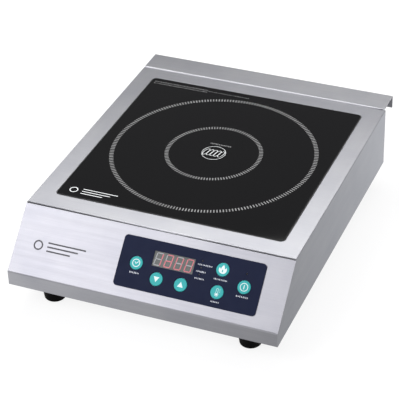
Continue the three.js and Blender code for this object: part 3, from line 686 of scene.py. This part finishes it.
TOP_BEND = 1.2
OPENING_BEND = 0.35
FRONT_BEND = 1.2
RETURN_BEND = 0.5
REAR_BEND = 1.8
LIP_FOOT = 0.002
SAME_PLACE = 0.00015
ALONG = 0.9


def middle(edge):
    return (edge.verts[0].co + edge.verts[1].co) / 2


def direction(edge):
    return (edge.verts[1].co - edge.verts[0].co).normalized()


def near(a, b):
    return abs(a - b) < SAME_PLACE


def runs_along_x(edge):
    return abs(direction(edge).x) > ALONG


def top_casing_radius(edge):
    """Bends along the front and the sides, and a pressed edge around the glass. The rear
    edge is square, because the rear panel stands against it."""
    low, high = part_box("top_casing")
    point = middle(edge)
    if not near(point.z, high.z):
        return 0.0
    on_side = near(point.x, low.x) or near(point.x, high.x)
    if on_side or near(point.y, plate_front_y()):
        return TOP_BEND
    behind_glass = point.y > (GLASS_HIGH.y + high.y) / 2
    return 0.0 if behind_glass else OPENING_BEND


def plate_front_y():
    """Front edge of the top plate, where the casing's highest points start."""
    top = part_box("top_casing")[1].z
    mesh = frame["nodes"]["top_casing"].data
    return min(v.co.y for v in mesh.vertices if near(v.co.z, top))


def front_panel_radius(edge):
    """The bend between the lip and the slope, and the one at the slope's top."""
    low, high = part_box("front_panel")
    point = middle(edge)
    if not runs_along_x(edge):
        return 0.0
    if near(point.y, low.y) and point.z > low.z + LIP_FOOT:
        return FRONT_BEND
    return RETURN_BEND if near(point.z, high.z) else 0.0


def rear_panel_radius(edge):
    """The bends of the ledge at the top of the rear panel."""
    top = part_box("rear_panel")[1].z
    return REAR_BEND if runs_along_x(edge) and near(middle(edge).z, top) else 0.0


def paint_shade_by_facing(piece, axis, material):
    """Painted shade: gives the faces that look along an axis (0 = X, 1 = Y) a copy of the finish
    with painted light and shade of its own.
    """
    piece.data.materials.append(material)
    for polygon in piece.data.polygons:
        if abs(polygon.normal[axis]) > ALONG:
            polygon.material_index = len(piece.data.materials) - 1


def add_case():
    """Folded sheet steel: top and sides, front, rear with its ledge, and the pan."""
    top = softened("top_casing_shell", "top_casing", STEEL, top_casing_radius)
    # Painted shade on the faces that look along X: the sides.
    paint_shade_by_facing(top, 0, SIDE_PAINTED_SHADE_STEEL)
    front = softened("front_panel_shell", "front_panel", STEEL, front_panel_radius)
    # Painted light and shade on the faces that look along Y: the front lip.
    paint_shade_by_facing(front, 1, LIP_PAINTED_LIGHT_STEEL)
    softened("rear_panel_shell", "rear_panel", LEDGE_STEEL, rear_panel_radius)
    paint("base_pan", PAN_STEEL)


# ----------------------------------------------------------------------- glass

RINGS = (
    {"inner": 119.8, "outer": 124.8, "ticks": 216},
    {"inner": 54.1, "outer": 58.9, "ticks": 108},
)
TICK_DUTY = 0.38
SIGN = {
    "radius": 14.3,
    "line": 0.5,
    "loops": 5,
    "pitch": 4.8,
    "loop_width": 5.2,
    "loop_height": 13.2,
    "loop_line": 0.65,
    "lean": 0.22,
}
PRINT_TOP = 0.04
GLASS_EDGE = 0.5
GLASS_MARK = {"x": -118.5, "y": -127.5, "scale": 1.15, "line": 1.1}
SIGN_CAPTION = {"start": -11.5, "end": 14, "y": 19.2, "height": 3.0, "line": 0.8, "gap": 1.0}
NOTES = (
    {"start": -134.5, "end": -62, "y": 133.6, "height": 2.4, "line": 0.7, "gap": 0.8},
    {"start": -60, "end": -6, "y": 132.2, "height": 1.5, "line": 0.7, "gap": 1.1},
    {"start": -134.5, "end": -62, "y": 129.4, "height": 2.2, "line": 0.7, "gap": 0.8},
)
STROKE = {"width": (0.8, 1.6), "height": (0.6, 1.0), "gap": (0.8, 1.4), "round": 0.3}
MARK = {"ring": 4.0, "bar_start": 5, "bars": ((3.8, 38), (0, 31), (-3.8, 24)), "round": 0.45}


def glass_radius(edge):
    return GLASS_EDGE if near(middle(edge).z, GLASS_HIGH.z) else 0.0


def print_on_glass(name, outlines, material):
    """Ink of an even, tiny thickness on the glass."""
    add_piece(name, flat_mesh(outlines, 0, PRINT_TOP, GLASS), material)


def ring_ticks():
    """Outlines of every radial tick of the two printed rings."""
    ticks = []
    for ring in RINGS:
        pitch = 360 / ring["ticks"]
        for i in range(ring["ticks"]):
            start = math.radians(i * pitch)
            end = math.radians((i + TICK_DUTY) * pitch)
            tick = []
            for radius, angle in (
                (ring["inner"], start),
                (ring["outer"], start),
                (ring["outer"], end),
                (ring["inner"], end),
            ):
                tick.append((radius * math.cos(angle), radius * math.sin(angle)))
            ticks.append(tick)
    return ticks


def leaning_loop(x):
    """Two outlines that bound one leaning oval loop of the coil sign."""
    outlines = []
    for grow in (SIGN["loop_line"] / 2, -SIGN["loop_line"] / 2):
        half_w = SIGN["loop_width"] / 2 + grow
        half_h = SIGN["loop_height"] / 2 + grow
        oval = []
        for px, py in disc(0, 0, 1, steps=32):
            oval.append((x + half_w * px + SIGN["lean"] * half_h * py, half_h * py))
        outlines.append(oval)
    return outlines


def add_coil_sign():
    """A ring around a row of overlapping loops, each laid a hair above the last."""
    ring = hoop(0, 0, SIGN["radius"], SIGN["line"], steps=64)
    print_on_glass("sign_ring", ring, WHITE_INK)
    for i in range(SIGN["loops"]):
        x = (i - (SIGN["loops"] - 1) / 2) * SIGN["pitch"]
        lift = PRINT_TOP * (i + 1) / SIGN["loops"]
        mesh = flat_mesh(leaning_loop(x), 0, lift, GLASS)
        add_piece(f"sign_loop_{i + 1}", mesh, WHITE_INK)


def strokes(start, end, y, height, line, gap):
    """A row of fine upright strokes of uneven height, in place of lettering."""
    row = []
    x = start
    while x < end:
        width = line * random.uniform(*STROKE["width"])
        tall = height * random.uniform(*STROKE["height"])
        radius = width * STROKE["round"]
        row.append(rounded(x + width / 2, y, width, tall, radius, steps=2))
        x += width + gap * random.uniform(*STROKE["gap"])
    return row


def maker_mark(x, y, scale, line):
    """A neutral sign: a ring beside three level bars, the lower the shorter."""
    bars = []
    for rise, length in MARK["bars"]:
        bar_x = x + (MARK["bar_start"] + length / 2) * scale
        bar_y = y + rise * scale
        corner = line * MARK["round"]
        bars.append(rounded(bar_x, bar_y, length * scale, line, corner, steps=4))
    radius = MARK["ring"] * scale
    return [*hoop(x - radius, y, radius, line, steps=40), *bars]


def add_glass():
    softened("glass_top", "glass_plate", BLACK_GLASS, glass_radius)
    paint("glass_seal", SEAL)
    print_on_glass("ring_print", ring_ticks(), RING_INK)
    add_coil_sign()
    print_on_glass("sign_caption", strokes(**SIGN_CAPTION), RING_INK)
    notes = [outline for row in NOTES for outline in strokes(**row)]
    print_on_glass("note_print", notes, NOTE_INK)
    print_on_glass("glass_mark", maker_mark(**GLASS_MARK), WHITE_INK)


# -------------------------------------------------------------------- controls

KEY = {
    "radius": 7.5,
    "face": 1.0,
    "stem": 1.8,
    "stem_end": -5.0,
    "flange": 9.2,
    "flange_low": -2.3,
    "flange_high": -1.3,
}
KEY_ROUND = ((0, -0.5), (-0.15, -0.15), (-0.5, 0), (-1.1, 0))
ARROW = {"half_width": 3.4, "base": 2.7, "tip": 3.4}
CLOCK = {
    "radius": 4.2,
    "line": 0.85,
    "hands": ((-1.8, 1.3), (-0.1, -0.8), (2.4, 2.0)),
    "hand": 0.8,
}
SWITCH = {"radius": 4.3, "line": 0.75, "bar": (0.9, 4.8, 0.4)}
THERMOMETER = {
    "bulb": 2.0,
    "bulb_y": -2.5,
    "neck": 1.05,
    "neck_top": 3.2,
    "half_line": 0.2,
    "mercury": 1.35,
    "mark_x": 2.9,
    "mark": (1.2, 0.35, 0.15),
    "mark_rises": (0.6, 2.0, 3.4),
}
FILM = {"corner": 4.5, "key_hole": 8.0, "lamp_hole": 1.2}
WINDOW_HOLE = {"width": 48.8, "height": 17.3, "radius": 0.5}
DIGIT = {"width": 7.1, "height": 13.9, "stroke": 1.15, "pitch": 12.1, "lean": 0.12, "gap": 0.1}
LIT_SEGMENTS = ("bc", "abcdeg", "bcdef", "abcdef")
SEGMENT_LEVELS = (0.02, 0.1)
CAPTION = {"height": 2.1, "line": 0.7, "gap": 0.8}
KEY_CAPTIONS = (
    {"key": "timer", "drop": 11.2, "width": 10.5},
    {"key": "heating", "drop": 11.5, "width": 15},
    {"key": "temperature", "drop": 11.0, "width": 9.5},
    {"key": "power", "drop": 10.9, "width": 13},
)
LAMP_CAPTIONS = {"heating": 16.5, "temperature": 10.5, "timer": 11.5}
LAMP_CAPTION_START = -4.5
LAMP_CAPTION_DROP = 4.4
PANEL_MARK = {"x": -130, "y": 37, "scale": 1.25, "line": 1.7}


def key_icon(name):
    """Outlines of a key's pictogram about the key's centre."""
    return {
        "timer": timer_icon,
        "down": lambda: [triangle(-1)],
        "up": lambda: [triangle(1)],
        "heating": flame_icon,
        "temperature": thermometer_icon,
        "power": power_icon,
    }[name]()


def triangle(way):
    """A triangle that points up for way = 1 and down for way = -1."""
    base, half = -ARROW["base"] * way, ARROW["half_width"]
    return [(-half, base), (half, base), (0, ARROW["tip"] * way)]


def timer_icon():
    return [*hoop(0, 0, CLOCK["radius"], CLOCK["line"]), stroke(CLOCK["hands"], CLOCK["hand"])]


def power_icon():
    return [*hoop(0, 0, SWITCH["radius"], SWITCH["line"]), rounded(0, 0, *SWITCH["bar"], steps=4)]


def bulb_outline(grow):
    """Outline of a thermometer's glass, moved outwards by grow."""
    neck = THERMOMETER["neck"] + grow
    bulb = THERMOMETER["bulb"] + grow
    start = math.degrees(math.acos(neck / bulb))
    lower = arc(0, THERMOMETER["bulb_y"], bulb, 180 - start, 360 + start, steps=24)
    return lower + arc(0, THERMOMETER["neck_top"], neck, 0, 180, steps=10)


def thermometer_icon():
    """The outline of the glass, the filled bulb, and three marks beside the neck."""
    walls = [bulb_outline(THERMOMETER["half_line"]), bulb_outline(-THERMOMETER["half_line"])]
    mercury = disc(0, THERMOMETER["bulb_y"], THERMOMETER["mercury"], steps=20)
    marks = [
        rounded(THERMOMETER["mark_x"], y, *THERMOMETER["mark"], steps=3)
        for y in THERMOMETER["mark_rises"]
    ]
    return [*walls, mercury, *marks]


def bowed(start, end, bow, steps=8):
    """Points from start up to end on a parabola that swells to the right by bow."""
    (x0, y0), (x1, y1) = start, end
    length = math.hypot(x1 - x0, y1 - y0)
    side_x, side_y = (y1 - y0) / length, -(x1 - x0) / length
    points = []
    for i in range(steps):
        t = i / steps
        swell = 4 * bow * t * (1 - t)
        points.append((x0 + (x1 - x0) * t + side_x * swell, y0 + (y1 - y0) * t + side_y * swell))
    return points


def flame_icon():
    """A fire with three tongues and a small core."""
    left_foot, right_foot = (-2.0, -4.1), (2.6, -4.3)
    left_tip, tip, right_tip = (-3.8, 2.2), (0.5, 5.2), (3.9, 2.6)
    left_notch, right_notch = (-2.1, 0.4), (2.2, 0.6)
    core_foot, core_tip = (0.1, -3.4), (0.3, 0.2)
    fire = [
        *bowed(left_foot, right_foot, 0.3),
        *bowed(right_foot, right_tip, 1.5),
        *bowed(right_tip, right_notch, -0.2),
        *bowed(right_notch, tip, 0.4),
        *bowed(tip, left_notch, 0.6),
        *bowed(left_notch, left_tip, -0.1),
        *bowed(left_tip, left_foot, 1.5),
    ]
    core = [*bowed(core_foot, core_tip, 0.7), *bowed(core_tip, core_foot, 0.7)]
    return [fire, core]


def key_profile():
    """Stem, flange under the film, and a cap with a rounded rim."""
    return [
        (0, KEY["stem_end"]),
        (KEY["stem"], KEY["stem_end"]),
        (KEY["stem"], KEY["flange_low"]),
        (KEY["flange"], KEY["flange_low"]),
        (KEY["flange"], KEY["flange_high"]),
        (KEY["radius"], KEY["flange_high"]),
        *((KEY["radius"] + inward, KEY["face"] + down) for inward, down in KEY_ROUND),
        (0, KEY["face"]),
    ]


def add_key(name):
    """A key with its pictogram printed on its face."""
    node = f"key_{name}"
    x, y = on_slope(node)
    place = SLOPE @ Matrix.Translation((x * MM, y * MM, 0))
    cap = turned(key_profile(), segments=64)
    cap.transform(place)
    body = f"{name}_key"
    add_piece(f"{name}_key_cap", cap, TEAL, body, (node,))
    icon = flat_mesh(key_icon(name), KEY["face"], KEY["face"] + PRINT_TOP, place)
    add_piece(f"{name}_key_icon", icon, ICON_INK, body)


def add_overlay():
    """The film over the controls, with holes for the keys, the lamps and the display.
    Gives the height of its face above the slope, in millimetres."""
    points = [SLOPE_INVERSE @ v.co for v in frame["nodes"]["control_overlay"].data.vertices]
    left, right = min(p.x for p in points) / MM, max(p.x for p in points) / MM
    low, high = min(p.y for p in points) / MM, max(p.y for p in points) / MM
    bottom, top = min(p.z for p in points) / MM, max(p.z for p in points) / MM
    x, y = (left + right) / 2, (low + high) / 2
    outlines = [rounded(x, y, right - left, high - low, FILM["corner"], steps=10)]
    for name in KEY_NAMES:
        outlines.append(disc(*on_slope(f"key_{name}"), FILM["key_hole"], steps=64))
    for name in LAMP_NAMES:
        outlines.append(disc(*on_slope(f"lamp_{name}"), FILM["lamp_hole"], steps=24))
    outlines.append(rounded(*on_slope("display_window"), **WINDOW_HOLE, steps=3))
    mesh = flat_mesh(outlines, bottom, top, SLOPE)
    add_piece("control_film", mesh, NAVY_FILM, stands_for=("control_overlay",))
    return top


def segment_outlines():
    """The seven segments a to g of one upright digit, as pointed bars about its centre."""
    half_w, half_h = DIGIT["width"] / 2, DIGIT["height"] / 2
    s = DIGIT["stroke"] / 2
    g = DIGIT["gap"]

    def level(y):
        a, b = -half_w + g, half_w - g
        return [(a, y), (a + s, y + s), (b - s, y + s), (b, y), (b - s, y - s), (a + s, y - s)]

    def upright(x, y0, y1):
        a, b = y0 + g, y1 - g
        return [(x, a), (x + s, a + s), (x + s, b - s), (x, b), (x - s, b - s), (x - s, a + s)]

    return {
        "a": level(half_h),
        "g": level(0),
        "d": level(-half_h),
        "b": upright(half_w, 0, half_h),
        "c": upright(half_w, -half_h, 0),
        "f": upright(-half_w, 0, half_h),
        "e": upright(-half_w, -half_h, 0),
    }


def add_display():
    """Module face with its segments, under a smoked window."""
    paint("display_module", DISPLAY_BODY)
    x0, y0 = on_slope("display_window")
    shapes = segment_outlines()
    lit, unlit = [], []
    for i, shown in enumerate(LIT_SEGMENTS):
        x = x0 + (i - (len(LIT_SEGMENTS) - 1) / 2) * DIGIT["pitch"]
        for letter, outline in shapes.items():
            leaned = [(x + px + DIGIT["lean"] * py, y0 + py) for px, py in outline]
            (lit if letter in shown else unlit).append(leaned)
    glow = flat_mesh(lit, *SEGMENT_LEVELS, SLOPE)
    add_piece("lit_segments", glow, SEGMENT_LIT)
    dull = flat_mesh(unlit, *SEGMENT_LEVELS, SLOPE)
    add_piece("unlit_segments", dull, SEGMENT_OFF)
    paint("display_window", WINDOW)


def add_captions(film_top):
    """Rows of strokes where the panel has words, and a neutral mark left of the film."""
    rows = []
    for caption in KEY_CAPTIONS:
        x, y = on_slope(f"key_{caption['key']}")
        half = caption["width"] / 2
        rows += strokes(x - half, x + half, y - caption["drop"], **CAPTION)
    for name, width in LAMP_CAPTIONS.items():
        x, y = on_slope(f"lamp_{name}")
        start = x + LAMP_CAPTION_START
        rows += strokes(start, start + width, y - LAMP_CAPTION_DROP, **CAPTION)
    mesh = flat_mesh(rows, film_top, film_top + PRINT_TOP, SLOPE)
    add_piece("panel_captions", mesh, CAPTION_INK)
    mark = flat_mesh(maker_mark(**PANEL_MARK), 0, PRINT_TOP, SLOPE)
    add_piece("panel_mark", mark, DARK_INK)


def add_controls():
    """Film, keys, lamps, display, and the boards and switches behind them."""
    film_top = add_overlay()
    for name in KEY_NAMES:
        add_key(name)
        paint(f"switch_{name}", BLACK_PLASTIC)
    for name in LAMP_NAMES:
        paint(f"lamp_{name}", LAMP_LENS)
    add_display()
    add_captions(film_top)
    paint("control_board", CIRCUIT)
    paint("board_carrier", BLACK_PLASTIC)


# ------------------------------------------------------ feet, screws and gland

SCREW = {"radius": 3.6, "rim": 0.5, "ledge": 0.3, "dome": 1.1, "top_radius": 2.9, "height": 1.6}
SCREW_SIDES = 28
BACKWARD = Matrix.Rotation(-math.pi / 2, 4, "X")
DOWNWARD = Matrix.Rotation(math.pi, 4, "X")
CROSS = {"length": 3.6, "width": 0.9}
REAR_SCREWS = ((-150, 12), (-20, 8), (70, 8), (150, 12))
PAN_SCREWS = tuple((x, y) for x in (-153, 153) for y in (-190, -90, 10, 110))


def cross_outline():
    """Outline of the recess, arm by arm."""
    a, b = CROSS["length"] / 2, CROSS["width"] / 2
    return [
        (a, b), (b, b), (b, a), (-b, a), (-b, b), (-a, b),
        (-a, -b), (-b, -b), (-b, -a), (b, -a), (b, -b), (a, -b),
    ]


def add_screw(name, place):
    """Pan head with a cross recess, standing on the plane of place."""
    profile = [
        (0, 0),
        (SCREW["radius"], 0),
        (SCREW["radius"], SCREW["rim"]),
        (SCREW["top_radius"] + SCREW["ledge"], SCREW["dome"]),
        (SCREW["top_radius"], SCREW["dome"]),
        (0, SCREW["dome"]),
    ]
    head = turned(profile, segments=SCREW_SIDES)
    head.transform(place)
    add_piece(f"{name}_head", head, SCREW_STEEL)
    outlines = [disc(0, 0, SCREW["top_radius"], steps=SCREW_SIDES), cross_outline()]
    crown = flat_mesh(outlines, SCREW["dome"], SCREW["height"], place)
    add_piece(f"{name}_crown", crown, SCREW_STEEL)


def add_screws():
    """Screws that hold the rear panel and the base pan."""
    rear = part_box("top_casing")[1].y
    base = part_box("base_pan")[0].z
    for i, (x, rise) in enumerate(REAR_SCREWS):
        at = Matrix.Translation((x * MM, rear, base + rise * MM))
        add_screw(f"rear_screw_{i + 1}", at @ BACKWARD)
    for i, (x, y) in enumerate(PAN_SCREWS):
        at = Matrix.Translation((x * MM, y * MM, base))
        add_screw(f"pan_screw_{i + 1}", at @ DOWNWARD)


GLAND = {"bore": 4.8, "thread": 8, "thread_end": 0.5}
HEXAGON = ((4.8, 0.3), (11.8, 0.3), (12.7, 1.0), (12.7, 5.5), (11.8, 6.2), (4.8, 6.2))
DOME_FOOT = ((4.8, 6.2), (10.4, 6.2), (10.5, 6.6), (10.5, 8.0))
DOME_HEAD = (
    (10.5, -7.0), (10.5, -5.2), (9.9, -3.4), (9.0, -1.2), (8.0, 0), (5.4, 0), (4.8, -0.8),
)
FLUTES = {"count": 20, "radius": 10.3, "depth": 0.5, "share": 0.45, "from": 6.9, "to": -5.0}


def press_flutes(mesh, mouth):
    """Presses shallow grip flutes into the straight part of the gland's dome nut."""
    shrink = 1 - FLUTES["depth"] / FLUTES["radius"]
    for vertex in mesh.vertices:
        x, y, z = (c / MM for c in vertex.co)
        if math.hypot(x, y) < FLUTES["radius"] or not FLUTES["from"] < z < mouth + FLUTES["to"]:
            continue
        phase = (math.atan2(y, x) / (2 * math.pi) * FLUTES["count"]) % 1
        if phase < FLUTES["share"]:
            vertex.co.x *= shrink
            vertex.co.y *= shrink


def add_gland():
    """Cable gland: thread through the wall, hexagon, and a fluted dome nut."""
    low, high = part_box("cable_gland")
    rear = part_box("top_casing")[1].y
    place = Matrix.Translation(((low.x + high.x) / 2, rear, (low.z + high.z) / 2)) @ BACKWARD
    inner = (low.y - rear) / MM
    mouth = (high.y - rear) / MM
    bore, outside, end = GLAND["bore"], GLAND["thread"], GLAND["thread_end"]
    thread = turned([(bore, inner), (outside, inner), (outside, end), (bore, end)])
    hexagon = turned(HEXAGON, segments=6)
    dome_head = [(radius, mouth + z) for radius, z in DOME_HEAD]
    dome = turned([*DOME_FOOT, *dome_head], segments=120)
    press_flutes(dome, mouth)
    parts = {"gland_thread": thread, "gland_hexagon": hexagon, "gland_dome": dome}
    for name, mesh in parts.items():
        mesh.transform(place)
        stands_for = ("cable_gland",) if name == "gland_dome" else ()
        add_piece(name, mesh, BLACK_PLASTIC, stands_for=stands_for)
    paint("gland_nut", BLACK_PLASTIC)


FOOT = {"tread": 12.8, "round": 3.0, "recess": 5.5, "chamfer": 0.4, "hole": 2.3, "pad": 8.0}
FOOT_RIM = ((-0.4, -1.4), (0, -0.8), (0, 0))


def foot_profile(widest, top):
    """Rounded tread, cone, rim at the top, screw hole and screw recess."""
    tread = []
    for degrees in range(0, 91, 15):
        turn = math.radians(degrees)
        radius = FOOT["tread"] - FOOT["round"] * (1 - math.sin(turn))
        tread.append((radius, FOOT["round"] * (1 - math.cos(turn))))
    recess = top - FOOT["pad"]
    return [
        (FOOT["recess"] + FOOT["chamfer"], 0),
        *tread,
        *((widest + outward, top + up) for outward, up in FOOT_RIM),
        (FOOT["hole"], top),
        (FOOT["hole"], recess),
        (FOOT["recess"], recess),
        (FOOT["recess"], FOOT["chamfer"]),
    ]


def add_feet():
    for corner in CORNERS:
        node = f"foot_{corner}"
        low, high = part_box(node)
        profile = foot_profile((high.x - low.x) / 2 / MM, high.z / MM)
        foot = turned(profile, segments=56)
        at = centre(node)
        foot.transform(Matrix.Translation((at.x, at.y, 0)))
        add_piece(f"rubber_{node}", foot, FOOT_RUBBER, stands_for=(node,))
        paint(f"foot_screw_{corner}", SCREW_STEEL)


# ------------------------------------------------------ coil and electronics

COIL = {"inner": 26, "pitch": 3.9, "wire": 1.85, "steps": 48, "sides": 8}
BLOCK_ROUND = 0.6
FERRITE_BARS = 6


def add_coil():
    """Flat spiral of thick litz wire in place of the plain ring."""
    low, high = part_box("coil_winding")
    middle_x, middle_y, middle_z = (low + high) / 2
    outer = (high.x - low.x) / 2 / MM - COIL["wire"]
    inner = COIL["inner"] + COIL["wire"]
    turns = (outer - inner) / COIL["pitch"]
    steps = round(turns * COIL["steps"])
    build = bmesh.new()
    rings = []
    for i in range(steps + 1):
        angle = 2 * math.pi * turns * i / steps
        radius = inner + (outer - inner) * i / steps
        ring = []
        for j in range(COIL["sides"]):
            around = 2 * math.pi * j / COIL["sides"]
            r = (radius + COIL["wire"] * math.cos(around)) * MM
            x = middle_x + r * math.cos(angle)
            y = middle_y + r * math.sin(angle)
            z = middle_z + COIL["wire"] * math.sin(around) * MM
            ring.append(build.verts.new((x, y, z)))
        rings.append(ring)
    for near_ring, far_ring in zip(rings, rings[1:]):
        for j in range(COIL["sides"]):
            k = (j + 1) % COIL["sides"]
            build.faces.new((near_ring[j], near_ring[k], far_ring[k], far_ring[j]))
    build.faces.new(rings[0])
    build.faces.new(rings[-1])
    add_piece("coil_spiral", mesh_from(build), COPPER, stands_for=("coil_winding",))


def add_blocks():
    """Moulded component bodies with rounded edges."""
    for node, material, slot in (
        ("igbt", BLACK_PLASTIC, "black_plastic"),
        ("bridge_rectifier", BLACK_PLASTIC, "black_plastic"),
        ("dc_link_capacitor", BLUE_BOX, "capacitor_blue"),
        ("resonant_capacitor", WHITE_PLASTIC, "white_plastic"),
        ("mains_filter_capacitor", BLUE_BOX, "capacitor_blue"),
        ("terminal_block", WHITE_PLASTIC, "white_plastic"),
    ):
        softened(f"{node}_body", node, material, lambda edge: BLOCK_ROUND, segments=3)


def add_inside():
    """The coil, the electronics and the fan."""
    add_coil()
    add_blocks()
    for node, material in (
        ("mica_sheet", MICA),
        ("coil_former", WHITE_PLASTIC),
        ("temperature_sensor", WHITE_PLASTIC),
        ("coil_bracket", ALUMINIUM),
        ("power_board", CIRCUIT),
        ("heatsink", ALUMINIUM),
        ("filter_choke", COPPER),
        ("ribbon_cable", GREY_CABLE),
        ("fan_frame", BLACK_PLASTIC),
        ("fan_rotor", BLACK_PLASTIC),
        *((f"ferrite_bar_{i + 1}", FERRITE) for i in range(FERRITE_BARS)),
    ):
        paint(node, material)


# -------------------------------------------------------------------- assembly

add_camera()
add_studio()
add_case()
add_glass()
add_controls()
add_screws()
add_gland()
add_feet()
add_inside()
